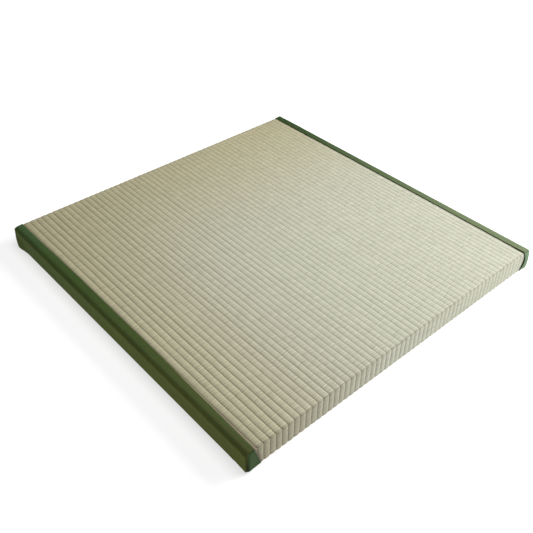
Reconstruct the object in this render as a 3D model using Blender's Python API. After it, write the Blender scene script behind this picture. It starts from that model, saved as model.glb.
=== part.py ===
"""Half tatami mat: a firm square mat covered in woven rush, with a green cloth
binding folded over two opposite edges.

Metres, +Z up. The origin is the middle of the underside. The two bound edges run
along X: the front one lies at -Y, the back one at +Y. The rush covering turns down
over the two unbound ends, the near one at +X and the far one at -X.

Both bindings are one folded strip of cloth each. A strip covers a narrow band of the
top, goes round the rounded top edge, down the side and a little way under the mat,
and its two ends are folded round the corners onto the mat's end faces. So it has the
shape of a long shallow tray that is pushed onto the edge of the mat. The mat's body is
stepped in along both edges by the thickness of the cloth, so the underside stays flat.
"""

import math

import bmesh
import bpy

MM = 0.001

# ---------------------------------------------------------------- driving sizes
SIDE = 880 * MM  # both sides of the square mat, over its bindings
THICK = 52 * MM  # underside to the top of the binding strips
CLOTH = 1.7 * MM  # binding cloth with its doubled-in edge
GAP = 0.52 * MM  # clearance between the cloth and the mat
PROUD_TOP = 1.6 * MM  # strips above the rush
PROUD_END = 1.2 * MM  # folded binding ends before the rush of the end faces

ROUND_END = 3.6 * MM  # rounding towards the end faces
ROUND_SIDE = 6.2 * MM  # rounding towards the bound sides
ROUND_TOP = 6.0 * MM  # rounding towards the top
ROUND_UNDER = 2.6 * MM  # rounding towards the underside

ARC_STEPS = 3  # steps in each rounded edge and corner
HEIGHT_STEPS = 5  # steps up a side
WALL_STEPS = 3  # steps across a strip
BODY_STEPS = 4  # steps across the rush between the strips

# Steps along the mat, as distances in from both ends.
IN_FROM_END = [0, 9 * MM, 20 * MM, 33 * MM, 48 * MM, 90 * MM, 165 * MM, 250 * MM, 340 * MM]

# ---------------------------------------------------------------- strip widths
# columns: place along the edge (0 far end, 1 near end), width on the top
FRONT_TOP = [(0.0, 22.3 * MM), (0.3, 24.6 * MM), (0.6, 25.0 * MM), (0.85, 22.4 * MM), (1.0, 20.0 * MM)]
BACK_TOP = [(0.0, 21.4 * MM), (0.3, 20.2 * MM), (0.6, 19.6 * MM), (0.85, 20.0 * MM), (1.0, 20.8 * MM)]
# columns: place along the edge (0 far end, 1 near end), width under the mat
FRONT_UNDER = [(0.0, 32.0 * MM), (0.12, 27.0 * MM), (0.88, 28.0 * MM), (1.0, 36.0 * MM)]
BACK_UNDER = [(0.0, 32.0 * MM), (0.12, 27.0 * MM), (0.88, 27.0 * MM), (1.0, 26.0 * MM)]
# columns: height (0 underside, 1 top), width of the strip's end, folded onto the end face
FRONT_FAR = [(0.0, 32.0 * MM), (1.0, 22.3 * MM)]
FRONT_NEAR = [(0.0, 36.0 * MM), (0.3, 31.0 * MM), (0.75, 23.5 * MM), (1.0, 20.0 * MM)]
BACK_FAR = [(0.0, 32.0 * MM), (1.0, 21.4 * MM)]
BACK_NEAR = [(0.0, 26.0 * MM), (0.3, 14.0 * MM), (0.6, 13.0 * MM), (0.85, 16.5 * MM), (1.0, 20.8 * MM)]

# ---------------------------------------------------------------- folded corners
# The cloth is bunched where it is folded round a corner, so it stands out there.
# columns: edge (-1 front, 1 back), end (-1 far, 1 near), height of the middle of the
# bunch, its reach up and down, its reach along the side, how far it stands out from
# the end face, and how far from the side
BUNCHES = [
    (-1, -1, 4 * MM, 26 * MM, 52 * MM, 0.6 * MM, 4.5 * MM),
    (-1, 1, 20 * MM, 34 * MM, 24 * MM, 0.8 * MM, 0.7 * MM),
    (1, -1, 4 * MM, 26 * MM, 40 * MM, 2.0 * MM, 4.5 * MM),
    (1, 1, 20 * MM, 32 * MM, 28 * MM, 2.0 * MM, 2.0 * MM),
]
BUNCH_CORE = 5 * MM  # half the height over which a bunch stands out fully
BUNCH_ROUND = 8 * MM  # the same along the end face and along the side
BUNCH_ACROSS = 20 * MM  # its reach across the end face, past that

# The front far corner is drawn in at the bottom, mat and cloth alike.
DRAWN_IN = 12 * MM  # how far, along X, at the underside
DRAWN_UP = 34 * MM  # its reach up the corner
DRAWN_ALONG = 60 * MM  # its reach along the side
DRAWN_ACROSS = 44 * MM  # its reach across the end face

HALF = SIDE / 2
MID_X = HALF - ROUND_END  # where the rounding of the ends begins
MID_Y = HALF - ROUND_SIDE
LOW_Z, HIGH_Z = ROUND_UNDER, THICK - ROUND_TOP


def smooth(t):
    t = min(max(t, 0.0), 1.0)
    return t * t * (3 - 2 * t)


def read(table, place):
    """The value at a place in a table of (place, value) rows, eased between the rows."""
    for (a, low), (b, high) in zip(table, table[1:]):
        if place <= b:
            return low + (high - low) * smooth((place - a) / (b - a))
    return table[-1][1]


class Station:
    """One step round the mat, seen along Y: a centre of rounding and a direction out of it."""

    def __init__(self, x, z, turn):
        self.x, self.z = x, z
        self.out_x, self.out_z = math.sin(turn), math.cos(turn)

    def at(self, reach_end, reach_top, reach_under):
        reach_z = reach_top if self.out_z > 0 else reach_under
        return self.x + reach_end * self.out_x, self.z + reach_z * self.out_z


def along():
    """The steps along X, from the far end to the near one."""
    half = [MID_X - d for d in IN_FROM_END]
    return [-x for x in half] + [0.0] + half[::-1]


def up():
    return [LOW_Z + (HIGH_Z - LOW_Z) * k / HEIGHT_STEPS for k in range(HEIGHT_STEPS + 1)]


def round_the_mat():
    """The closed ring of stations: along the top, down the near end, back under, up the far end."""
    xs, zs, quarter = along(), up(), math.pi / 2
    ring = []
    legs = (
        [(x, HIGH_Z) for x in xs],
        [(MID_X, z) for z in zs[::-1]],
        [(x, LOW_Z) for x in xs[::-1]],
        [(-MID_X, z) for z in zs],
    )
    for turn, leg in enumerate(legs):
        ring += [Station(x, z, turn * quarter) for x, z in leg]
        x, z = leg[-1]
        ring += [
            Station(x, z, (turn + k / ARC_STEPS) * quarter) for k in range(1, ARC_STEPS)
        ]
    return ring


def strip_width(station, edge):
    """How far a strip's inner edge lies in from its side, at a station."""
    top, under = (FRONT_TOP, FRONT_UNDER) if edge < 0 else (BACK_TOP, BACK_UNDER)
    far, near = (FRONT_FAR, FRONT_NEAR) if edge < 0 else (BACK_FAR, BACK_NEAR)
    if abs(station.x) > MID_X - 0.01 * MM:
        height = (station.z - LOW_Z) / (HIGH_Z - LOW_Z)
        return read(near if station.x > 0 else far, height)
    return read(top if station.out_z > 0 else under, (station.x + MID_X) / (2 * MID_X))


def fade(distance, core, reach):
    """1 within the core, easing to 0 at the reach past it."""
    return 1 - smooth((distance - core) / reach)


def bunched(x, y, z, edge):
    """The point moved out where the folded cloth is bunched at a corner."""
    from_side = HALF - edge * y
    near_side = fade(from_side, 0, ROUND_SIDE + 1 * MM)
    across = fade(from_side, BUNCH_ROUND, BUNCH_ACROSS)
    for row_edge, end, height, reach_z, reach_x, puff_x, puff_y in BUNCHES:
        if row_edge != edge:
            continue
        level = fade(abs(z - height), BUNCH_CORE, reach_z)
        from_end = HALF - end * x
        near_end = fade(from_end, 0, ROUND_END + 1 * MM)
        y += edge * puff_y * level * near_side * fade(from_end, BUNCH_ROUND, reach_x)
        x += end * puff_x * level * near_end * across
    return x, y, z


def drawn_in(x, y, z):
    """The point moved in along X near the bottom of the front far corner."""
    share = (
        fade(z, 0, DRAWN_UP)
        * fade(HALF + x, 0, DRAWN_ALONG)
        * fade(HALF + y, BUNCH_ROUND, DRAWN_ACROSS)
    )
    return x + DRAWN_IN * share, y, z


class Surface:
    """Collects corner points and faces, and joins points that fall together."""

    def __init__(self):
        self.mesh, self.found = bmesh.new(), {}

    def point(self, p):
        p = drawn_in(*p)
        key = tuple(round(c * 1e7) for c in p)
        if key not in self.found:
            self.found[key] = self.mesh.verts.new(p)
        return self.found[key]

    def face(self, *points):
        corners = []
        for v in (self.point(p) for p in points):
            if v not in corners:
                corners.append(v)
        if len(corners) > 2:
            self.mesh.faces.new(corners)

    def bridge(self, first, second):
        """Faces between two closed rings with as many points."""
        count = len(first)
        for i in range(count):
            j = (i + 1) % count
            self.face(first[i], first[j], second[j], second[i])

    def side(self, cloth_in, edge, shift=None):
        """The flat side inside the rounding, as a grid."""
        xs, zs = along(), up()
        y = edge * (HALF - cloth_in)
        move = shift or (lambda *p: p)
        for a, b in zip(xs, xs[1:]):
            for low, high in zip(zs, zs[1:]):
                self.face(
                    move(a, y, low), move(b, y, low), move(b, y, high), move(a, y, high)
                )

    def done(self, name, material):
        bmesh.ops.recalc_face_normals(self.mesh, faces=self.mesh.faces)
        bmesh.ops.triangulate(self.mesh, faces=self.mesh.faces)
        data = bpy.data.meshes.new(name)
        self.mesh.to_mesh(data)
        self.mesh.free()
        data.materials.append(material)
        data.shade_smooth()
        data.set_sharp_from_angle(angle=math.radians(35))
        thing = bpy.data.objects.new(name, data)
        bpy.context.scene.collection.objects.link(thing)
        return thing


def rounded_ring(ring, edge, inset, tilt):
    """The ring of points on the rounded side edge. tilt is 0 on the side, 90 degrees on the walls."""
    s = math.sin(tilt)
    y = edge * (MID_Y + (ROUND_SIDE - inset) * math.cos(tilt))
    points = []
    for station in ring:
        x, z = station.at(
            (ROUND_END - inset) * s, (ROUND_TOP - inset) * s, (ROUND_UNDER - inset) * s
        )
        points.append((x, y, z))
    return points


def wall_ring(ring, edge, inset, share, widen=0.0):
    """The ring of points across a strip, from the rounded edge (0) to the strip's inner edge (1)."""
    points = []
    for station in ring:
        x, z = station.at(ROUND_END - inset, ROUND_TOP - inset, ROUND_UNDER - inset)
        inner = HALF - strip_width(station, edge) - widen
        points.append((x, edge * (MID_Y + (inner - MID_Y) * share), z))
    return points


def skin(surface, ring, edge, inset, shift=None, widen=0.0):
    """One side of the cloth: the side, its rounded edge and the walls. Returns its last ring."""
    move = shift or (lambda *p: p)
    rings = [
        rounded_ring(ring, edge, inset, math.pi / 2 * k / ARC_STEPS)
        for k in range(ARC_STEPS + 1)
    ]
    rings += [
        wall_ring(ring, edge, inset, k / WALL_STEPS, widen)
        for k in range(1, WALL_STEPS + 1)
    ]
    rings = [[move(*p) for p in r] for r in rings]
    surface.side(inset, edge, shift)
    for a, b in zip(rings, rings[1:]):
        surface.bridge(a, b)
    return rings[-1]


def binding(name, edge, material):
    """A strip of cloth, folded over one side and both corners of the mat."""
    ring, surface = round_the_mat(), Surface()
    outer = skin(surface, ring, edge, 0.0, lambda x, y, z: bunched(x, y, z, edge))
    inner = skin(surface, ring, edge, CLOTH)
    surface.bridge(outer, inner)
    return surface.done(name, material)


def body(name, material):
    """The rush-covered mat: its full section between the strips, stepped in under them."""
    ring, surface = round_the_mat(), Surface()
    steps = []
    for edge in (-1, 1):
        stepped_in = skin(surface, ring, edge, CLOTH + GAP, widen=GAP)
        full = []
        for station, (_, y, _) in zip(ring, stepped_in):
            x, z = station.at(
                ROUND_END - PROUD_END, ROUND_TOP - PROUD_TOP, ROUND_UNDER
            )
            full.append((x, y, z))
        surface.bridge(stepped_in, full)
        steps.append(full)
    front, back = steps
    across = [front]
    for k in range(1, BODY_STEPS):
        across.append(
            [
                (a[0], a[1] + (b[1] - a[1]) * k / BODY_STEPS, a[2])
                for a, b in zip(front, back)
            ]
        )
    across.append(back)
    for a, b in zip(across, across[1:]):
        surface.bridge(a, b)
    return surface.done(name, material)


def material(name, colour, roughness):
    made = bpy.data.materials.new(name)
    made.use_nodes = True
    shader = made.node_tree.nodes["Principled BSDF"]
    shader.inputs["Base Color"].default_value = (*colour, 1.0)
    shader.inputs["Roughness"].default_value = roughness
    shader.inputs["Metallic"].default_value = 0.0
    return made


def main():
    for old in list(bpy.data.objects):
        bpy.data.objects.remove(old, do_unlink=True)
    rush = material("woven_rush", (0.55, 0.53, 0.39), 0.78)
    cloth_front = material("binding_cloth_front", (0.052, 0.098, 0.040), 0.82)
    cloth_back = material("binding_cloth_back", (0.125, 0.225, 0.105), 0.82)
    body("mat_body", rush)
    binding("binding_front", -1, cloth_front)
    binding("binding_back", 1, cloth_back)


main()
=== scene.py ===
"""Looks for a half tatami mat: ribbed woven rush over a firm body, and two green cloth
bindings folded over opposite edges and round the corners.

Metres, +Z up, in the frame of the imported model. The bound edges run along X: the front
one lies at -Y, the back one at +Y. The rush turns down over the near end at +X and the
far end at -X.
"""

import math

import bmesh
import bpy
import numpy as np
from mathutils import Matrix, Vector


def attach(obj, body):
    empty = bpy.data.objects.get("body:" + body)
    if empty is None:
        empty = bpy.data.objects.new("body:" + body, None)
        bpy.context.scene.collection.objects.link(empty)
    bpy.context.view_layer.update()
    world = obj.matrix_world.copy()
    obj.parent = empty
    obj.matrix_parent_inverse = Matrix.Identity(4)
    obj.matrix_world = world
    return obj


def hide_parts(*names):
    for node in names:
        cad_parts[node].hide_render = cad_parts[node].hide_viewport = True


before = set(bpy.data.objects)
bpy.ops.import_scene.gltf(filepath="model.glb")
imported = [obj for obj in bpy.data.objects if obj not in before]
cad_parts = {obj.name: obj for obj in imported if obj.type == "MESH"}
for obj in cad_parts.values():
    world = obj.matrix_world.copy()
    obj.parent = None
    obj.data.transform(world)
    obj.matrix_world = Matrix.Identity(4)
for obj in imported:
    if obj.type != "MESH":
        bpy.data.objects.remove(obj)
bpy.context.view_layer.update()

MM = 0.001

# ---------------------------------------------------------------- sizes kept from the part
SIDE = 880 * MM
THICK = 52 * MM
HALF = SIDE / 2
ROUND_END = 3.6 * MM
ROUND_SIDE = 6.2 * MM
ROUND_TOP = 6.0 * MM
ROUND_UNDER = 1.6 * MM
MID_X = HALF - ROUND_END
MID_Y = HALF - ROUND_SIDE
LOW_Z, HIGH_Z = ROUND_UNDER, THICK - ROUND_TOP

# columns: place along the edge (0 far end, 1 near end), width of the strip on the top
FRONT_TOP = [(0.0, 21.8), (0.3, 23.9), (0.6, 23.8), (0.85, 21.3), (1.0, 19.4)]
BACK_TOP = [(0.0, 20.9), (0.3, 19.9), (0.6, 19.5), (0.85, 19.9), (1.0, 20.8)]
# columns: place along the edge, width under the mat
FRONT_UNDER = [(0.0, 32.0), (0.12, 27.0), (0.88, 28.0), (1.0, 36.0)]
BACK_UNDER = [(0.0, 32.0), (0.12, 27.0), (0.88, 27.0), (1.0, 26.0)]
# columns: height (0 underside, 1 top), width of the strip's end on the end face
FRONT_FAR = [(0.0, 32.0), (1.0, 21.8)]
FRONT_NEAR = [(0.0, 33.6), (0.3, 28.4), (0.75, 23.2), (1.0, 19.4)]
BACK_FAR = [(0.0, 32.0), (1.0, 20.9)]
BACK_NEAR = [(0.0, 26.0), (0.3, 17.6), (0.6, 15.6), (0.85, 17.4), (1.0, 20.8)]

# columns: edge, end, height of the middle of the bunch, reach up and down, reach along
# the side, how far it stands out from the end face, and how far from the side (mm)
BUNCHES = [
    (-1, -1, 4, 26, 52, 0.4, 4.4),
    (-1, 1, 20, 34, 24, 0.9, 0.7),
    (1, -1, 4, 26, 40, 1.0, 4.4),
    (1, 1, 20, 32, 28, 2.0, 2.0),
]
BUNCH_CORE, BUNCH_ROUND, BUNCH_ACROSS = 5 * MM, 8 * MM, 20 * MM
DRAWN_IN, DRAWN_UP, DRAWN_ALONG, DRAWN_ACROSS = 12 * MM, 34 * MM, 60 * MM, 44 * MM

# ---------------------------------------------------------------- sizes of the looks
CLOTH = 1.2 * MM  # thickness of the binding cloth
SOFT_SIDES = {-1: 10.5 * MM, 1: 4.0 * MM}  # rounding of the cloth over the mat's top edge
DOME = 1.8 * MM  # how far a strip slopes down from its inner edge to its rounded one
RUSH_TOP = 50.35 * MM  # level of the ribs' shoulders
RUSH_END = 438.7 * MM  # and how far out they are on the end faces
RUSH_ROUND_X, RUSH_ROUND_Z = 2.4 * MM, 3.6 * MM  # the facing's fold over the ends
RIB_DEEP = 1.50 * MM  # groove to crest
CREST = 0.35 * MM  # crest above the shoulder level
# columns: groove number counted from the front, its place across the mat (mm)
GROOVES = [
    (0, -399), (5, -322), (10, -246.5), (15, -172), (20, -98), (25, -24), (30, 49.5),
    (35, 122.5), (40, 196), (45, 267.5), (47, 296), (50, 337.5), (53, 377.5), (55, 402),
]
# columns: place across a rib (0 and 1 in its grooves)
RIB_PLACES = (0.0, 0.055, 0.15, 0.31, 0.5, 0.69, 0.85, 0.945)
TURNED_UNDER = 34 * MM  # how far the ribs go on under the mat before they press flat


# ---------------------------------------------------------------- small tools
def ease(t):
    t = np.clip(t, 0.0, 1.0)
    return t * t * (3 - 2 * t)


def read(table, place, scale=MM):
    """Values at places in a table of (place, value) rows, eased between the rows."""
    place = np.asarray(place, float)
    out = np.full(place.shape, float(table[0][1]))
    for (a, low), (b, high) in zip(table, table[1:]):
        out = np.where(place > a, low + (high - low) * ease((place - a) / (b - a)), out)
    return out * scale


def fade(distance, core, reach):
    return 1 - ease((np.asarray(distance, float) - core) / reach)


def hump(distance, width):
    """1 in the middle, falling off softly: half way down at about 0.83 of the width."""
    return np.exp(-((np.asarray(distance, float) / width) ** 2))


def ripple(place, seed, lengths):
    """A smooth wavering from -1 to 1, the sum of a few waves of the given lengths."""
    r = np.random.default_rng(seed)
    out = np.zeros(np.shape(place))
    for length in lengths:
        out = out + np.sin(
            2 * math.pi * (np.asarray(place, float) / length + r.random())
        )
    return out / len(lengths)


def spaced(low, high, step, ends=None, reach=0.0):
    """Places from low to high about a step apart, and closer within reach of both ends."""
    if ends is None:
        return np.linspace(low, high, max(2, int(round((high - low) / step)) + 1))
    near = np.arange(0.0, reach, ends)
    middle = np.linspace(
        low + reach, high - reach, max(2, int(round((high - low - 2 * reach) / step)) + 1)
    )
    return np.concatenate([low + near, middle, (high - near)[::-1]])


class Ring:
    """Stations round the mat, seen along Y: over the top to the near end, down it, back
    under the mat, and up the far end. Each has a centre of rounding and a direction out."""

    def __init__(self, top, heights, under, arc):
        quarter = math.pi / 2
        legs = [
            [(x, HIGH_Z) for x in top],
            [(MID_X, z) for z in heights[::-1]],
            [(x, LOW_Z) for x in under[::-1]],
            [(-MID_X, z) for z in heights],
        ]
        rows = []
        for turn, leg in enumerate(legs):
            rows += [(x, z, turn * quarter, turn) for x, z in leg]
            x, z = leg[-1]
            rows += [
                (x, z, (turn + k / arc) * quarter, turn + 0.5) for k in range(1, arc)
            ]
        rows = np.array(rows)
        self.x, self.z, turn, self.leg = rows.T
        self.out_x, self.out_z = np.sin(turn), np.cos(turn)
        self.count = len(rows)

    def at(self, end, top, under):
        """Places the given distances out from the centres: towards the ends, up and down."""
        reach_z = np.where(self.out_z > 0, top, under)
        return self.x + end * self.out_x, self.z + reach_z * self.out_z

    def strip(self, edge):
        """How far the strip's inner edge lies in from the side, at each station."""
        top, under = (FRONT_TOP, FRONT_UNDER) if edge < 0 else (BACK_TOP, BACK_UNDER)
        far, near = (FRONT_FAR, FRONT_NEAR) if edge < 0 else (BACK_FAR, BACK_NEAR)
        along = (self.x + MID_X) / (2 * MID_X)
        height = (self.z - LOW_Z) / (HIGH_Z - LOW_Z)
        at_end = np.abs(self.x) > MID_X - 0.01 * MM
        flat = np.where(self.out_z > 0, read(top, along), read(under, along))
        turned = np.where(self.x > 0, read(near, height), read(far, height))
        return np.where(at_end, turned, flat)


class Net:
    """Collects grids of points into one closed mesh with its own map."""

    def __init__(self):
        self.points, self.faces, self.maps, self.shades = [], [], [], []
        self.total = 0

    def grid(self, points, uv, wrap=None, shade=None):
        """A grid of points (rows, columns, 3). wrap closes the rows; its value is what
        the map's first number reads where the last row meets the first."""
        rows, columns = points.shape[:2]
        base = self.total
        self.points.append(points.reshape(-1, 3))
        self.shades.append(
            (np.zeros((rows, columns)) if shade is None else shade).ravel()
        )
        self.total += rows * columns
        i = np.arange(rows if wrap is not None else rows - 1)
        j = np.arange(columns - 1)
        a, b = np.meshgrid(i, j, indexing="ij")
        c = (a + 1) % rows
        self.faces.append(
            base
            + np.stack(
                [a * columns + b, c * columns + b, c * columns + b + 1, a * columns + b + 1],
                -1,
            ).reshape(-1, 4)
        )
        far = uv[c, b].copy()
        far_up = uv[c, b + 1].copy()
        if wrap is not None:
            far[-1, :, 0] = wrap
            far_up[-1, :, 0] = wrap
        self.maps.append(
            np.stack([uv[a, b], far, far_up, uv[a, b + 1]], 2).reshape(-1, 4, 2)
        )
        return base + np.arange(rows * columns).reshape(rows, columns)

    def done(self, name, material):
        mesh = bpy.data.meshes.new(name)
        points = np.concatenate(self.points)
        faces = np.concatenate(self.faces)
        maps = np.concatenate(self.maps)
        mesh.vertices.add(len(points))
        mesh.vertices.foreach_set("co", points.astype(np.float32).ravel())
        mesh.loops.add(faces.size)
        mesh.loops.foreach_set("vertex_index", faces.astype(np.int32).ravel())
        mesh.polygons.add(len(faces))
        mesh.polygons.foreach_set("loop_start", np.arange(0, faces.size, 4, dtype=np.int32))
        mesh.polygons.foreach_set("loop_total", np.full(len(faces), 4, np.int32))
        layer = mesh.uv_layers.new(name="cloth")
        layer.uv.foreach_set("vector", maps.astype(np.float32).ravel())
        shade = mesh.attributes.new("shade", "FLOAT", "POINT")
        shade.data.foreach_set("value", np.concatenate(self.shades).astype(np.float32))
        mesh.update(calc_edges=True)
        mesh.validate()
        work = bmesh.new()
        work.from_mesh(mesh)
        bmesh.ops.remove_doubles(work, verts=work.verts, dist=2e-6)
        bmesh.ops.dissolve_degenerate(work, edges=work.edges, dist=1e-7)
        bmesh.ops.recalc_face_normals(work, faces=work.faces)
        for face in work.faces:
            face.smooth = True
        work.to_mesh(mesh)
        work.free()
        mesh.materials.append(material)
        thing = bpy.data.objects.new(name, mesh)
        bpy.context.scene.collection.objects.link(thing)
        return thing


def drawn_in(points):
    """The points moved in along X near the bottom of the front far corner."""
    x, y, z = np.moveaxis(points, -1, 0)
    share = (
        fade(z, 0, DRAWN_UP)
        * fade(HALF + x, 0, DRAWN_ALONG)
        * fade(HALF + y, BUNCH_ROUND, DRAWN_ACROSS)
    )
    return np.stack([x + DRAWN_IN * share, y, z], -1)


# ---------------------------------------------------------------- the rush-covered body
# columns: place across the mat (0 front, 1 back), how far the ribs shift sideways as
# they turn down over the near end (mm)
TURNED_SHIFT = [(0.04, 1.5), (0.16, -1.8), (0.5, -1.9), (0.72, -3.4), (0.88, -3.4), (0.97, 1.5)]


def groove_places():
    """Where the grooves lie across the mat, and two more hidden under each strip."""
    numbers = np.arange(GROOVES[-1][0] + 1)
    inner = MM * np.interp(numbers, *zip(*GROOVES))
    inner = inner - 0.45 * MM + 0.15 * MM * np.where(numbers % 2, 1.0, -1.0)
    front = [inner[0] - 30.2 * MM, inner[0] - 15.2 * MM]
    back = [inner[-1] + 13.5 * MM, inner[-1] + 27.0 * MM]
    return np.concatenate([front, inner, back])


def rush_body():
    top = spaced(-MID_X, MID_X, 8.8 * MM, 1.5 * MM, 9 * MM)
    heights = spaced(LOW_Z, HIGH_Z, 5.2 * MM)
    under = spaced(-MID_X, MID_X, 62 * MM, 7.0 * MM, 42 * MM)
    ring = Ring(top, heights, under, 6)
    grooves = groove_places()
    y0, rib = [], []
    for k in range(len(grooves) - 1):
        for place in RIB_PLACES:
            y0.append(grooves[k] + (grooves[k + 1] - grooves[k]) * place)
            rib.append(k + place)
    y0, rib = np.array(y0 + [grooves[-1]]), np.array(rib + [len(grooves) - 1.0])
    keep = np.abs(y0) < 429 * MM
    y0, rib = y0[keep], rib[keep]
    wall = 437.2 * MM
    y0 = np.concatenate([[-wall], y0, [wall]])
    rib = np.concatenate([[rib[0] - 0.5], rib, [rib[-1] + 0.5]])

    # length along the facing, from the far end of the top
    flat_x, flat_z = ring.at(RUSH_ROUND_X, RUSH_ROUND_Z, ROUND_UNDER)
    steps = np.hypot(np.diff(flat_x, append=flat_x[0]), np.diff(flat_z, append=flat_z[0]))
    along = np.concatenate([[0.0], np.cumsum(steps)])
    total, along = along[-1], along[:-1]

    # each groove wavers on its own and a little with its neighbours
    waver = np.zeros((ring.count, len(grooves)))
    for k in range(len(grooves)):
        waver[:, k] = 0.42 * MM * ripple(along, 100 + k, (0.41, 0.23, 0.127))
    shared = 0.5 * MM * ripple(along, 7, (1.9, 0.83)) - 0.4 * MM * (flat_x / HALF) ** 2
    column = np.clip(rib, 0, len(grooves) - 1.001)
    low = np.floor(column).astype(int)
    part = column - low
    move = waver[:, low] * (1 - part) + waver[:, low + 1] * part + shared[:, None]
    inside = ease((wall - np.abs(y0)) / (12 * MM))
    turned = ease((flat_x - MID_X + 2 * MM) / (4 * MM)) * ease((flat_z + 1) / 1.001)
    shift = read(TURNED_SHIFT, (y0 + HALF) / SIDE)
    move = move + turned[:, None] * shift[None, :]
    y = y0[None, :] + move * inside[None, :]

    # ribs: rounded crests between narrow grooves
    place = part
    crest = (1 - np.abs(2 * place - 1) ** 2.2) ** 0.66
    strength = 1 + 0.16 * ripple(np.arange(len(grooves)), 3, (2.03, 5.7, 9.1))
    swell = np.ones((ring.count, len(y0)))
    for k in range(len(grooves) - 1):
        here = low == k
        swell[:, here] = (
            strength[k]
            * (1 + 0.08 * ripple(along, 400 + k, (0.37, 0.21, 0.13)))[:, None]
        )
    # ribs stand a little prouder in front
    prouder = 1 - 0.42 * ease((y0 + 0.42) / 0.80)
    # and are pulled flatter where the facing turns over the far end
    pulled = 1 - 0.5 * hump(flat_x + HALF, 16 * MM)
    deep = RIB_DEEP * prouder[None, :] * pulled[:, None]
    rise = (crest[None, :] * swell - 1) * deep + CREST * pulled[:, None]
    # the grooves bite deeper into the fold over each end
    at_end = np.abs(flat_x) - (MID_X - 1 * MM)
    fold = hump(at_end, 3.2 * MM) * (flat_z > 30 * MM)
    rise = rise - 0.55 * MM * (fold[:, None] * (1 - crest[None, :]) ** 1.0)
    end_face = (np.abs(ring.out_x) > 0.7) & (ring.z > LOW_Z - 1)
    rise = rise - 0.32 * MM * (end_face[:, None] * (1 - crest[None, :]))
    # a soft line where the facing was creased on its way over the near end
    crease = hump(np.abs(flat_x) - MID_X + 0.2 * MM, 1.1 * MM) * (ring.out_z > 0.6)
    rise = rise - 0.38 * MM * crease[:, None]
    # pressed flat under the strips and under the mat
    strips = [HALF - ring.strip(edge) for edge in (-1, 1)]
    clear = np.minimum(y + strips[0][:, None], strips[1][:, None] - y)
    free = ease((clear + 0.6 * MM) / (3.4 * MM))
    hidden = ease((-clear - 3 * MM) / (9 * MM))
    under_it = ring.out_z < -0.5
    pressed = ease((MID_X - np.abs(flat_x) - 4 * MM) / TURNED_UNDER)
    pressed = np.where(under_it, np.maximum(pressed, ring.out_z < -0.9), 0.0)
    lower = np.where(under_it, 1.0, 0.0)
    rise = rise * free * (1 - pressed[:, None])
    rise = np.where(lower[:, None] > 0, np.minimum(rise, 0.0), rise)
    rise = rise - (1.15 + 0.3 * lower[:, None] + 3.0 * hidden) * MM * (1 - free)

    # the firm body is a shade uneven
    uneven = (
        0.25
        * MM
        * ripple(flat_x, 21, (0.51, 0.31))[:, None]
        * ripple(y0, 22, (0.47, 0.29))[None, :]
        * (ring.out_z > 0.5)[:, None]
    )
    rise = rise + uneven

    end_x = RUSH_END - MID_X
    top_z = RUSH_TOP - HIGH_Z
    x = ring.x[:, None] + (end_x + rise) * ring.out_x[:, None]
    z = (
        ring.z[:, None]
        + (np.where(ring.out_z > 0, top_z, ROUND_UNDER)[:, None] + rise)
        * ring.out_z[:, None]
    )
    z = np.where(under_it[:, None], np.maximum(z, 0.0), z)
    points = drawn_in(np.stack([x, y, z], -1))
    uv = np.stack(
        [np.repeat(along[:, None], len(y0), 1), np.repeat(rib[None, :], ring.count, 0)], -1
    )
    # painted shade beside the strips, where their shadow falls; 1 right at the strip
    near = ease((flat_x - 0.27) / 0.10) * (ring.out_z > 0)
    wide = np.where(y < 0, (3.0 + 3.2 * near)[:, None], 1.3) * MM
    near_strip = hump(np.maximum(clear - 0.4 * MM, 0.0), wide)
    near_strip = near_strip * (1 + 0.35 * near[:, None] * (y < 0))
    net = Net()
    net.grid(points, uv, wrap=total, shade=near_strip)

    # the two hidden sides, closed from top to bottom
    for side, at in ((0, 0), (1, len(y0) - 1)):
        edge_points, edge_uv = points[:, at], uv[:, at]
        net_cap(net, edge_points, edge_uv, ring)
    return net.done("rush_body", rush_material())


def net_cap(net, edge_points, edge_uv, ring):
    """Closes a ring of points with faces between its upper and its lower half."""
    count = len(edge_points)
    middle = (HIGH_Z + LOW_Z) / 2
    upper = [i for i in range(count) if edge_points[i, 2] > middle]
    # start the upper run at the far end
    breaks = [n for n in range(len(upper)) if (upper[n] - 1) % count not in set(upper)]
    first = breaks[0]
    upper = upper[first:] + upper[:first]
    lower = [i for i in range(count) if i not in set(upper)]
    start = lower.index((upper[-1] + 1) % count)
    lower = (lower[start:] + lower[:start])[::-1]
    a, b = edge_points[upper], edge_points[lower]
    ua, ub = edge_uv[upper], edge_uv[lower]
    i = j = 0
    quads, maps, corners, shades = [], [], [], []
    while i < len(a) - 1 or j < len(b) - 1:
        forward = j >= len(b) - 1 or (
            i < len(a) - 1 and a[i + 1][0] <= b[j + 1][0]
        )
        if forward:
            tri, m = (a[i], a[i + 1], b[j]), (ua[i], ua[i + 1], ub[j])
            i += 1
        else:
            tri, m = (a[i], b[j + 1], b[j]), (ua[i], ub[j + 1], ub[j])
            j += 1
        corners += [*tri, tri[2]]
        maps.append([*m, m[2]])
        quads.append(net.total + np.arange(len(corners) - 4, len(corners)))
    net.points.append(np.array(corners))
    net.shades.append(np.zeros(len(corners)))
    net.faces.append(np.array(quads))
    net.maps.append(np.array(maps))
    net.total += len(corners)


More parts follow.
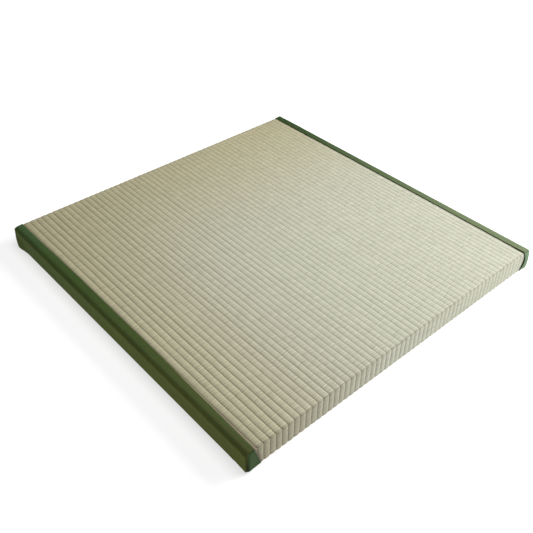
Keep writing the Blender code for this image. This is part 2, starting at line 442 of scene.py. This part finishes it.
# ---------------------------------------------------------------- the cloth bindings
def settle(base, edge):
    """How far each point of the cloth moves from its plain place: bunched corners,
    creases, puckers, the sloping strip and the wavering of its edges."""
    x, y, z = np.moveaxis(base, -1, 0)
    dx, dy, dz = np.zeros_like(x), np.zeros_like(x), np.zeros_like(x)
    from_side = HALF - edge * y
    near_side = fade(from_side, 0, SOFT_SIDES[edge] + 1 * MM)
    across = fade(from_side, BUNCH_ROUND, BUNCH_ACROSS)
    high = ease((z - HIGH_Z + 2 * MM) / (8.5 * MM))
    # bunched corners
    for row_edge, end, height, reach_z, reach_x, puff_x, puff_y in BUNCHES:
        if row_edge != edge:
            continue
        level = fade(np.abs(z - height * MM), BUNCH_CORE, reach_z * MM)
        from_end = HALF - end * x
        near_end = fade(from_end, 0, ROUND_END + 1 * MM)
        dy += edge * puff_y * MM * level * near_side * fade(from_end, BUNCH_ROUND, reach_x * MM)
        dx += end * puff_x * MM * level * near_end * across
    # the strip slopes down towards the rounded edge, and wavers
    width = read(FRONT_TOP if edge < 0 else BACK_TOP, (x + MID_X) / (2 * MID_X))
    slope = np.clip(1 - from_side / width, 0, 1) ** 1.45
    dome = DOME if edge < 0 else 0.05 * DOME
    dz -= dome * slope * high
    dz += 0.16 * MM * ripple(x, 31 + edge, (0.173, 0.071, 0.043)) * high
    # its inner edge stands up as a soft roll
    inner = from_side - width
    roll = hump(inner + 1.9 * MM, 1.5 * MM)
    dz += 0.30 * MM * roll * high
    lift = 0.5 * MM if edge < 0 else 0.9 * MM
    dz += lift * hump(np.maximum(-inner, 0), 5 * MM) * high * fade(
        HALF - x, 6 * MM, 60 * MM
    )
    # the inner edge is not quite straight
    dy += (
        0.28
        * MM
        * ripple(x, 41 + edge, (0.31, 0.117, 0.057))
        * hump(np.maximum(-inner, 0), 6 * MM)
        * high
    )
    if edge > 0:
        # the back edge bows out a little along its far half
        dy += 0.9 * MM * fade(x, -0.10, 0.30) * near_side * fade(-x, HALF - 50 * MM, 45 * MM)
    # long shallow sags and small puckers on the side
    low_side = near_side * (1 - high)
    dy += edge * 0.22 * MM * (
        1 + ripple(x + 0.35 * z, 51 + edge, (0.23, 0.097)) * ripple(z, 53, (0.09,))
    ) * low_side
    for end in (-1, 1):
        from_end = HALF - end * x
        pull = fade(from_end, 0, 110 * MM)
        folds = ripple(from_end - 0.85 * z, 61 + 2 * edge + end, (0.021, 0.034))
        dy += edge * 0.34 * MM * (0.5 + folds) * pull * low_side * fade(
            -from_end, 0, 1
        )
    return np.stack([dx, dy, dz], -1)


def corner_folds(base, edge):
    """Folds of the cloth at the corners that show: ridges stand out, creases return to the mat, and
    painted shade darkens the creases.
    """
    x, y, z = np.moveaxis(base, -1, 0)
    out = np.zeros_like(base)
    dark = np.zeros_like(x)
    from_side = HALF - edge * y
    for end in (-1, 1):
        from_end = HALF - end * x
        on_end = fade(from_end, 0.5 * MM, ROUND_END + 1.5 * MM)
        on_side = fade(from_side, 0.5 * MM, SOFT_SIDES[edge] + 1.5 * MM)
        # how far round the fold over the end: 0 on top, 1 on the end face
        bend = np.arctan2((end * x - MID_X) / ROUND_END, (z - HIGH_Z) / ROUND_TOP)
        bend = np.where(end * x > MID_X - 0.1 * MM, np.clip(bend * 2 / math.pi, 0, 1), 0)
        # the line where the strip is folded down over the end
        line = hump(bend - 0.44, 0.17) * fade(-from_side, -9 * MM, 6 * MM)
        out[..., 0] -= end * 0.55 * MM * line
        out[..., 2] -= 0.35 * MM * line
        # painted shade along the fold line
        dark = np.maximum(dark, 0.75 * line)
        # the folded end is two layers thick: it stands out from the end face, less at its inner edge
        layers = on_end * fade(from_side, 9 * MM, 16 * MM) * ease(z / (6 * MM))
        layers = layers * fade(z, HIGH_Z - 6 * MM, 7 * MM)
        out[..., 0] += end * 0.75 * MM * layers
        # a ridge up the corner, and the crease beside it where the layers part
        ridge = hump(from_side - 6.8 * MM, 2.2 * MM) * on_end
        split = hump(from_side - 2.6 * MM + 0.02 * z, 1.3 * MM) * on_end
        tall = fade(z, HIGH_Z - 4 * MM, 9 * MM)
        out[..., 0] += end * (0.45 * MM * ridge - 0.95 * MM * split) * tall
        # the strip's inner corner is tucked in where it turns down
        notch = hump(bend - 0.38, 0.22) * hump(from_side - 19.5 * MM, 2.6 * MM)
        out[..., 0] -= end * 0.9 * MM * notch
        out[..., 2] -= 0.5 * MM * notch
        # painted shade in the tucked corner
        dark = np.maximum(dark, 0.8 * notch)
        # painted shade along the split up the corner, fainter on the back strip
        seam = hump(from_side - 2.4 * MM + 0.02 * z, 3.1 * MM - 0.02 * z) * on_end
        seam = seam * (1.0 if edge < 0 else 0.45)
        dark = np.maximum(dark, seam * tall * fade(z, 12 * MM, 70 * MM))
        # on the side, a soft upright fold a little in from the corner
        tuck = hump(from_end - 7.5 * MM - 0.10 * z, 2.6 * MM) * on_side
        hollow = hump(from_end - 12.5 * MM - 0.16 * z, 2.4 * MM) * on_side
        side_tall = ease(z / (6 * MM)) * fade(z, HIGH_Z - 8 * MM, 12 * MM)
        out[..., 1] += edge * (0.65 * MM * tuck - 0.28 * MM * hollow) * side_tall
    return out, dark


def binding(name, edge, material):
    """A strip of cloth folded over one side and both corners: two skins and a rolled edge."""
    top = spaced(-MID_X, MID_X, 7.0 * MM, 1.9 * MM, 38 * MM)
    heights = spaced(LOW_Z, HIGH_Z, 1.8 * MM)
    ring = Ring(top, heights, top, 7)
    strip = ring.strip(edge)
    tilts = np.linspace(0, math.pi / 2, 10)
    shares = np.concatenate([[0.10, 0.24, 0.42, 0.60, 0.74, 0.85, 0.93], [0.975]])
    soft = SOFT_SIDES[edge]
    net = Net()

    def skin(inset):
        """Rings of points from the side's edge to just before the strip's inner edge."""
        rows, plain = [], []
        for tilt in tilts:
            s, c = math.sin(tilt), math.cos(tilt)
            mid = HALF - soft
            y = np.full(ring.count, edge * (mid + (soft - inset) * c))
            x, z = ring.at((ROUND_END - inset) * s, (ROUND_TOP - inset) * s, (ROUND_UNDER - inset) * s)
            rows.append(np.stack([x, y, z], -1))
            x, z = ring.at(ROUND_END * s, ROUND_TOP * s, ROUND_UNDER * s)
            plain.append(np.stack([x, np.full(ring.count, edge * (mid + soft * c)), z], -1))
        for share in shares:
            inner = HALF - strip
            y = edge * (HALF - soft + (inner - HALF + soft) * share)
            x, z = ring.at(ROUND_END - inset, ROUND_TOP - inset, ROUND_UNDER - inset)
            rows.append(np.stack([x, y, z], -1))
            x, z = ring.at(ROUND_END, ROUND_TOP, ROUND_UNDER)
            plain.append(np.stack([x, y, z], -1))
        return np.stack(rows, 1), np.stack(plain, 1)

    outer, plain = skin(0.0)
    inner, _ = skin(CLOTH)
    # the rolled edge between the skins, turning round the end of the strip
    roll, roll_plain = [], []
    for k in range(1, 6):
        turn = math.pi * k / 6
        inset = CLOTH / 2 * (1 - math.cos(turn))
        reach = HALF - strip - 0.9 * MM * math.sin(turn) * 0.6
        x, z = ring.at(ROUND_END - inset, ROUND_TOP - inset, ROUND_UNDER - inset)
        roll.append(np.stack([x, edge * reach, z], -1))
        x, z = ring.at(ROUND_END, ROUND_TOP, ROUND_UNDER)
        roll_plain.append(np.stack([x, edge * (HALF - strip), z], -1))
    roll, roll_plain = np.stack(roll, 1), np.stack(roll_plain, 1)

    def moved(points, at):
        folds, dark = corner_folds(at, edge)
        place = points + settle(at, edge) + folds
        place[..., 2] = np.maximum(place[..., 2], 0.0)
        return drawn_in(place), dark

    surface = np.concatenate([outer, roll, inner[:, ::-1]], 1)
    plain_all = np.concatenate([plain, roll_plain, plain[:, ::-1]], 1)
    shape, creases = moved(surface, plain_all)
    # map: along the strip, and across it from the underside's edge of the side
    ring_x, ring_z = ring.at(ROUND_END, ROUND_TOP, ROUND_UNDER)
    steps = np.hypot(np.diff(ring_x, append=ring_x[0]), np.diff(ring_z, append=ring_z[0]))
    along = np.concatenate([[0.0], np.cumsum(steps)])
    total, along = along[-1], along[:-1]
    gap = np.linalg.norm(np.diff(plain_all[ring.count // 8], axis=0), axis=1)
    cross = HIGH_Z + np.concatenate([[0.0], np.cumsum(gap)])
    uv = np.stack(
        [np.repeat(along[:, None], len(cross), 1), np.repeat(cross[None, :], ring.count, 0)],
        -1,
    )
    # 1 on the roll and under the strip's inner edge, where the shadow gathers
    count_outer, count_roll = outer.shape[1], roll.shape[1]
    shade = creases
    shade[:, count_outer + 1 : count_outer + count_roll] = 1.0
    shade[:, count_outer] = 0.35
    shade[:, count_outer + count_roll :] = 1.0
    net.grid(shape, uv, wrap=total, shade=shade)

    # the flat side, outer and inner skin
    for inset in (0.0, CLOTH):
        xs, zs = np.meshgrid(top, heights, indexing="ij")
        flat = np.stack([xs, np.full_like(xs, edge * (HALF - inset)), zs], -1)
        at = np.stack([xs, np.full_like(xs, edge * HALF), zs], -1)
        flat, dark = moved(flat, at)
        net.grid(flat, np.stack([xs + MID_X, zs], -1), shade=dark)
    return net.done(name, material)


# ---------------------------------------------------------------- materials
class Nodes:
    """Short names for the shader nodes used here."""

    def __init__(self, name):
        self.material = bpy.data.materials.new(name)
        self.material.use_nodes = True
        self.tree = self.material.node_tree
        self.shader = self.tree.nodes["Principled BSDF"]

    def node(self, kind, **values):
        made = self.tree.nodes.new(kind)
        for key, value in values.items():
            setattr(made, key, value)
        return made

    def put(self, socket, value):
        if isinstance(value, bpy.types.NodeSocket):
            self.tree.links.new(value, socket)
        else:
            socket.default_value = value

    def math(self, operation, a, b=0.0, c=0.0, clamp=False):
        made = self.node("ShaderNodeMath", operation=operation, use_clamp=clamp)
        for socket, value in zip(made.inputs, (a, b, c)):
            self.put(socket, value)
        return made.outputs[0]

    def add(self, a, b):
        return self.math("ADD", a, b)

    def sub(self, a, b):
        return self.math("SUBTRACT", a, b)

    def mul(self, a, b):
        return self.math("MULTIPLY", a, b)

    def power(self, a, b):
        return self.math("POWER", a, b)

    def step(self, value, low, high, to_low=0.0, to_high=1.0):
        made = self.node("ShaderNodeMapRange", interpolation_type="SMOOTHSTEP")
        for socket, number in zip(made.inputs, (value, low, high, to_low, to_high)):
            self.put(socket, number)
        return made.outputs[0]

    def vector(self, x, y, z=0.0):
        made = self.node("ShaderNodeCombineXYZ")
        for socket, value in zip(made.inputs, (x, y, z)):
            self.put(socket, value)
        return made.outputs[0]

    def uv(self):
        made = self.node("ShaderNodeUVMap", uv_map="cloth")
        parts = self.node("ShaderNodeSeparateXYZ")
        self.put(parts.inputs[0], made.outputs[0])
        return parts.outputs[0], parts.outputs[1]

    def place(self):
        made = self.node("ShaderNodeTexCoord")
        parts = self.node("ShaderNodeSeparateXYZ")
        self.put(parts.inputs[0], made.outputs["Object"])
        return parts.outputs[0], parts.outputs[1], parts.outputs[2]

    def shade(self):
        return self.node("ShaderNodeAttribute", attribute_name="shade").outputs["Fac"]

    def noise(self, vector, scale, detail=2.0, rough=0.5):
        made = self.node("ShaderNodeTexNoise")
        self.put(made.inputs["Vector"], vector)
        made.inputs["Scale"].default_value = scale
        made.inputs["Detail"].default_value = detail
        made.inputs["Roughness"].default_value = rough
        return made.outputs["Fac"]

    def scatter(self, vector):
        made = self.node("ShaderNodeTexWhiteNoise", noise_dimensions="2D")
        self.put(made.inputs["Vector"], vector)
        return made.outputs["Value"]

    def mix(self, share, a, b, blend="MIX"):
        made = self.node("ShaderNodeMix", data_type="RGBA", blend_type=blend)
        self.put(made.inputs[0], share)
        for socket, value in zip((made.inputs[6], made.inputs[7]), (a, b)):
            self.put(socket, (*value, 1.0) if isinstance(value, tuple) else value)
        return made.outputs[2]

    def times(self, colour, factor):
        """A colour made darker or lighter by a number."""
        made = self.node("ShaderNodeVectorMath", operation="SCALE")
        self.put(made.inputs[0], colour)
        self.put(made.inputs["Scale"], factor)
        return made.outputs[0]

    def bump(self, height, distance, strength=1.0, normal=None):
        made = self.node("ShaderNodeBump")
        made.inputs["Strength"].default_value = strength
        made.inputs["Distance"].default_value = distance
        self.put(made.inputs["Height"], height)
        if normal is not None:
            self.put(made.inputs["Normal"], normal)
        return made.outputs[0]


RUSH_FRONT = (0.412, 0.379, 0.242)  # by the front binding and the far end: yellower, without painted sheen
RUSH_BACK = (0.442, 0.447, 0.360)  # by the back binding and the near end: paler and greener, with painted sheen
STRAND = 1.60 * MM  # from one rush to the next


def rush_material():
    n = Nodes("woven_rush")
    u, v = n.uv()
    x, y, z = n.place()
    rib = n.math("FLOOR", v)
    place = n.sub(v, rib)
    odd = n.math("MODULO", rib, 2.0)
    # single rushes lie across the ribs, and each rib shows every other one
    waver = n.noise(n.vector(n.mul(u, 21.0), n.mul(v, 0.31)), 1.0, 1.0)
    slant = n.mul(n.sub(n.mul(odd, 2.0), 1.0), n.mul(n.sub(place, 0.5), 0.55))
    strand = n.add(
        n.add(n.mul(u, 1 / STRAND), n.mul(odd, 0.5)), n.add(slant, n.mul(waver, 1.6))
    )
    number = n.math("FLOOR", strand)
    across = n.sub(strand, number)
    rounded = n.math(
        "SQRT", n.math("MAXIMUM", n.sub(1.0, n.power(n.sub(n.mul(across, 2.0), 1.0), 2.0)), 0.0)
    )
    own = n.scatter(n.vector(number, rib))
    long_own = n.scatter(n.vector(n.math("FLOOR", n.mul(strand, 0.55)), n.mul(rib, 3.0)))
    from_groove = n.sub(0.5, n.math("ABSOLUTE", n.sub(place, 0.5)))
    groove = n.step(from_groove, 0.0, 0.085, 1.0, 0.0)
    # colour: paler and greener towards the back and the near end as painted sheen, and mottled along
    # bundles of rushes
    towards_back = n.mul(n.step(x, -0.52, 0.10), n.step(y, -0.52, -0.02))
    ground = n.mix(towards_back, RUSH_FRONT, RUSH_BACK)
    bundles = n.noise(n.vector(n.mul(u, 420.0), n.mul(v, 1.7)), 1.0, 3.0, 0.6)
    patches = n.noise(n.vector(n.mul(x, 9.0), n.mul(y, 7.0), n.mul(z, 9.0)), 1.0, 3.0, 0.55)
    green = n.mix(n.step(bundles, 0.36, 0.66), (1.02, 0.995, 0.955), (0.98, 1.0, 0.995))
    ground = n.mix(1.0, ground, green, "MULTIPLY")
    light = n.add(n.mul(own, 0.19), n.add(n.mul(long_own, 0.02), n.mul(patches, 0.05)))
    light = n.add(light, n.mul(n.math("MODULO", n.math("ABSOLUTE", number), 2.0), 0.09))
    # every few rushes a darker one, so that the ribs look finely hatched
    stray = n.noise(n.vector(n.mul(u, 75.0), n.mul(rib, 1.37)), 1.0, 1.0)
    turn = n.add(n.mul(strand, 1 / 3.3), n.mul(stray, 2.4))
    turn = n.add(turn, n.scatter(n.vector(rib, 5.0)))
    hatch = n.math("SINE", n.mul(turn, 2 * math.pi))
    light = n.add(light, n.mul(hatch, 0.10))
    light = n.add(light, 0.835)
    # each rush darker towards its edges: painted shade between the rushes
    light = n.mul(light, n.step(rounded, 0.0, 0.75, 0.76, 1.0))
    ground = n.times(ground, light)
    # painted shade in the grooves, deeper towards the front, and darkest right by the strips as
    # painted shade
    groove_shade = n.step(y, -0.44, 0.36, 0.62, 0.16)
    ground = n.mix(n.mul(groove, groove_shade), ground, (0.150, 0.112, 0.062))
    ground = n.mix(n.mul(n.shade(), 0.62), ground, (0.19, 0.140, 0.088))
    # painted shade along the fold over the ends
    fold_shade = n.mul(
        n.step(n.math("ABSOLUTE", x), 0.4336, 0.4352),
        n.step(n.math("ABSOLUTE", x), 0.4374, 0.4388, 1.0, 0.0),
    )
    fold_shade = n.mul(fold_shade, n.step(z, 0.0465, 0.0485))
    ground = n.mix(n.mul(fold_shade, 0.42), ground, (0.21, 0.185, 0.115))
    # darker by a tenth along the front strip, towards the near end
    darker_by_front_strip = n.mul(n.step(y, -0.425, -0.375, 1.0, 0.0), n.step(x, -0.15, 0.40))
    ground = n.times(ground, n.sub(1.0, n.mul(darker_by_front_strip, 0.10)))
    # painted light and shade on the near end face: darker towards the front, lighter towards the back
    end_face = n.step(y, -0.44, 0.0, -0.18, 0.06)
    ground = n.times(ground, n.add(1.0, n.mul(n.step(x, 0.4366, 0.4382), end_face)))
    # the plain underside
    below = n.mul(
        n.step(z, 0.0006, 0.0014, 1.0, 0.0),
        n.step(n.math("ABSOLUTE", x), 0.388, 0.404, 1.0, 0.0),
    )
    ground = n.mix(n.mul(below, 0.85), ground, (0.33, 0.30, 0.235))
    n.put(n.shader.inputs["Base Color"], ground)
    rough = n.add(0.56, n.mul(own, 0.12))
    n.put(n.shader.inputs["Roughness"], rough)
    n.shader.inputs["Specular IOR Level"].default_value = 0.42
    height = n.add(n.mul(rounded, 0.75), n.mul(own, 0.35))
    fibres = n.noise(n.vector(n.mul(u, 5200.0), n.mul(v, 5.0)), 1.0, 2.0)
    height = n.add(height, n.mul(fibres, 0.12))
    n.put(n.shader.inputs["Normal"], n.bump(height, 0.30 * MM, 0.7))
    return n.material


def cloth_material(name, edge, top, side, ends, arris_shade, gloss, sheen, gradient=None):
    """Plain-woven cloth. top and side are its colours on the strip and on the mat's side, and ends on
    the end patch; being one cloth, where they differ it is painted light.
    """
    n = Nodes(name)
    u, v = n.uv()
    x, y, z = n.place()
    thread = 0.62 * MM
    waver = n.noise(n.vector(n.mul(u, 60.0), n.mul(v, 60.0)), 1.0, 2.0)
    a = n.add(n.mul(u, 1 / thread), n.mul(waver, 0.5))
    b = n.add(n.mul(v, 1 / thread), n.mul(waver, 0.5))
    ia, ib = n.math("FLOOR", a), n.math("FLOOR", b)
    fa, fb = n.sub(a, ia), n.sub(b, ib)
    sa = n.math("SINE", n.mul(fa, math.pi))
    sb = n.math("SINE", n.mul(fb, math.pi))
    over = n.math("MODULO", n.add(ia, ib), 2.0)
    warp = n.mul(sa, n.add(0.55, n.mul(sb, 0.45)))
    weft = n.mul(sb, n.add(0.55, n.mul(sa, 0.45)))
    weave = n.add(n.mul(warp, over), n.mul(weft, n.sub(1.0, over)))
    slub_a = n.scatter(n.vector(ia, 3.0))
    slub_b = n.scatter(n.vector(ib, 11.0))
    slubs = n.add(n.mul(slub_a, over), n.mul(slub_b, n.sub(1.0, over)))
    coarse = n.noise(n.vector(n.mul(u, 260.0), n.mul(v, 420.0)), 1.0, 3.0, 0.65)
    patches = n.noise(n.vector(n.mul(u, 14.0), n.mul(v, 30.0)), 1.0, 2.0)
    facing_up = n.step(z, HIGH_Z + 0.5 * MM, HIGH_Z + 5.4 * MM)
    on_side = n.mul(n.step(n.math("ABSOLUTE", y), 0.4345, 0.4385), n.sub(1.0, facing_up))
    # painted light: the strip is lighter along its inner edge, most of all at its ends
    far_out = n.step(n.math("ABSOLUTE", x), 0.16, 0.42)
    inner = n.step(n.math("ABSOLUTE", y), 0.4180, 0.4350, 1.0, 0.0)
    painted_light_tint = n.mix(inner, (1.0, 1.0, 1.0), n.mix(far_out, (1.03, 1.13, 1.06), (1.24, 1.34, 1.60)))
    # the side in the side colour: on the front cloth, painted light
    colour = n.mix(on_side, top, side)
    if edge < 0:
        # painted light and shade: the strip grows paler towards the near end, and the side darker
        # towards the far one
        strip = n.mix(n.step(x, -0.42, -0.22), (1.02, 1.10, 1.26), (1.0, 1.0, 1.0))
        strip = n.mix(n.step(x, -0.25, 0.42), strip, (1.30, 1.13, 1.26))
        flank_shading = n.mix(n.step(x, -0.45, 0.10), (0.84, 0.86, 0.88), (1.03, 1.03, 1.03))
        painted_light_tint = n.mix(1.0, painted_light_tint, n.mix(on_side, strip, flank_shading), "MULTIPLY")
        colour = n.mix(1.0, colour, painted_light_tint, "MULTIPLY")
    # painted shade along the rounded top edge
    fold = n.mul(
        n.step(n.math("ABSOLUTE", y), 0.4290, 0.4360),
        n.mul(n.step(z, 0.0410, 0.0465), n.step(z, 0.0500, 0.0522, 1.0, 0.0)),
    )
    colour = n.mix(n.mul(fold, arris_shade), colour, (0.010, 0.016, 0.003))
    # the end patch in its own colour: painted light on the same cloth
    folded = n.mul(
        n.step(n.math("ABSOLUTE", x), 0.4370, 0.4385),
        n.step(n.math("ABSOLUTE", y), 0.4368, 0.4382, 1.0, 0.0),
    )
    colour = n.mix(folded, colour, ends)
    # a tint along X: on the back cloth painted light, dark at the far end and bright at the near end
    if gradient is not None:
        colour = n.mix(
            1.0, colour, n.mix(n.step(x, -0.60, 0.60), gradient[0], gradient[1]), "MULTIPLY"
        )
    light = n.add(n.mul(slubs, 0.26), n.mul(coarse, 0.42))
    light = n.add(n.add(light, n.mul(patches, 0.22)), 0.53)
    light = n.mul(light, n.add(0.62, n.mul(weave, 0.5)))
    colour = n.times(colour, light)
    # painted shade: dark under the rolled inner edge and in the creases of the corner folds
    colour = n.mix(n.mul(n.shade(), 0.9), colour, (0.010, 0.007, 0.004))
    n.put(n.shader.inputs["Base Color"], colour)
    n.shader.inputs["Roughness"].default_value = 0.78
    n.shader.inputs["Specular IOR Level"].default_value = gloss
    n.shader.inputs["Sheen Weight"].default_value = sheen
    n.shader.inputs["Sheen Roughness"].default_value = 0.5
    n.put(
        n.shader.inputs["Normal"],
        n.bump(n.add(n.mul(weave, 0.8), n.mul(coarse, 0.5)), 0.20 * MM, 0.8),
    )
    return n.material


# ---------------------------------------------------------------- build the pieces
body = rush_body()
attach(body, "root")
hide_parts("mat_body")

# front cloth: its top darker than the back cloth, painted shade, and its side lighter than its top,
# painted light
front = binding(
    "cloth_front",
    -1,
    cloth_material(
        "binding_cloth_front",
        -1,
        (0.056, 0.085, 0.022),
        (0.104, 0.134, 0.027),
        (0.050, 0.094, 0.036),
        0.20,
        0.08,
        0.0,
        gradient=((1.04, 1.16, 1.20), (1.14, 1.04, 1.04)),
    ),
)
# back cloth: its end patch lighter and its colour graded along X, painted light
back = binding(
    "cloth_back",
    1,
    cloth_material(
        "binding_cloth_back",
        1,
        (0.096, 0.150, 0.055),
        (0.096, 0.150, 0.055),
        (0.108, 0.198, 0.087),
        0.0,
        0.14,
        0.0,
        gradient=((0.28, 0.42, 0.20), (1.76, 1.41, 1.98)),
    ),
)
for piece, node, slot in (
    (front, "binding_front", "binding_cloth_front"),
    (back, "binding_back", "binding_cloth_back"),
):
    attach(piece, "root")
    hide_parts(node)


# ---------------------------------------------------------------- floor, light and camera
def floor():
    mesh = bpy.data.meshes.new("floor")
    size = 60.0
    mesh.from_pydata(
        [(-size, -size, 0), (size, -size, 0), (size, size, 0), (-size, size, 0)],
        [],
        [(0, 1, 2, 3)],
    )
    thing = bpy.data.objects.new("floor", mesh)
    bpy.context.scene.collection.objects.link(thing)
    thing.location.z = -0.0004
    n = Nodes("floor")
    n.shader.inputs["Base Color"].default_value = (0.45, 0.45, 0.45, 1)
    n.shader.inputs["Roughness"].default_value = 0.9
    n.shader.inputs["Specular IOR Level"].default_value = 0.1
    n.shader.inputs["Emission Color"].default_value = (1, 1, 1, 1)
    # evenly pale further off too, where the lights no longer reach
    x, y, _ = n.place()
    away = n.math("SQRT", n.add(n.mul(x, x), n.mul(y, y)))
    n.put(n.shader.inputs["Emission Strength"], n.step(away, 0.75, 1.5, 0.70, 0.90))
    mesh.materials.append(n.material)


def softbox(name, place, aim, size, watts, tint=(1, 1, 1)):
    data = bpy.data.lights.new(name, "AREA")
    data.shape = "RECTANGLE"
    data.size, data.size_y = size
    data.energy = watts
    data.color = tint
    lamp = bpy.data.objects.new(name, data)
    bpy.context.scene.collection.objects.link(lamp)
    lamp.location = place
    towards = Vector(aim) - Vector(place)
    lamp.rotation_euler = towards.to_track_quat("-Z", "Y").to_euler()


floor()
softbox("key_light", (0.85, 2.10, 1.55), (0.1, 0.1, 0.0), (1.2, 0.9), 76)
softbox("side_light", (1.45, 1.20, 0.62), (0.42, 0.2, 0.0), (0.5, 0.4), 10)
softbox("top_light", (0.03, 0.07, 1.55), (0.03, 0.07, 0), (1.0, 0.9), 14)

world = bpy.data.worlds.new("studio")
world.use_nodes = True
world.node_tree.nodes["Background"].inputs[0].default_value = (1.0, 1.0, 1.0, 1)
# pale at the horizon, dim above it
sky = world.node_tree.nodes.new("ShaderNodeTexCoord")
parts = world.node_tree.nodes.new("ShaderNodeSeparateXYZ")
level = world.node_tree.nodes.new("ShaderNodeMapRange")
level.interpolation_type = "SMOOTHSTEP"
for socket, number in zip(level.inputs, (0.0, 0.0, 0.26, 0.62, 0.06)):
    socket.default_value = number
world.node_tree.links.new(sky.outputs["Generated"], parts.inputs[0])
world.node_tree.links.new(parts.outputs[2], level.inputs[0])
world.node_tree.links.new(level.outputs[0], world.node_tree.nodes["Background"].inputs[1])
bpy.context.scene.world = world
bpy.context.scene.view_settings.view_transform = "Standard"
bpy.context.scene.view_settings.look = "None"

AZIMUTH, ELEVATION, ROLL = 0.8391987489, 0.6923423929, 0.0114257417
camera_data = bpy.data.cameras.new("camera")
camera_data.lens = 709.8254 / 533 * 36
camera_data.sensor_width = 36
camera_data.clip_start, camera_data.clip_end = 0.05, 50
camera = bpy.data.objects.new("camera", camera_data)
bpy.context.scene.collection.objects.link(camera)
away = Vector(
    (
        math.sin(AZIMUTH) * math.cos(ELEVATION),
        -math.cos(AZIMUTH) * math.cos(ELEVATION),
        math.sin(ELEVATION),
    )
)
level = (-away).cross(Vector((0, 0, 1))).normalized()
upright = level.cross(-away)
right = math.cos(ROLL) * level + math.sin(ROLL) * upright
upward = -math.sin(ROLL) * level + math.cos(ROLL) * upright
turn = Matrix((right, upward, away)).transposed().to_4x4()
camera.matrix_world = Matrix.Translation((1.007404, -0.908174, 1.087916)) @ turn
bpy.context.scene.camera = camera

# ---------------------------------------------------------------- the end
bpy.context.view_layer.update()
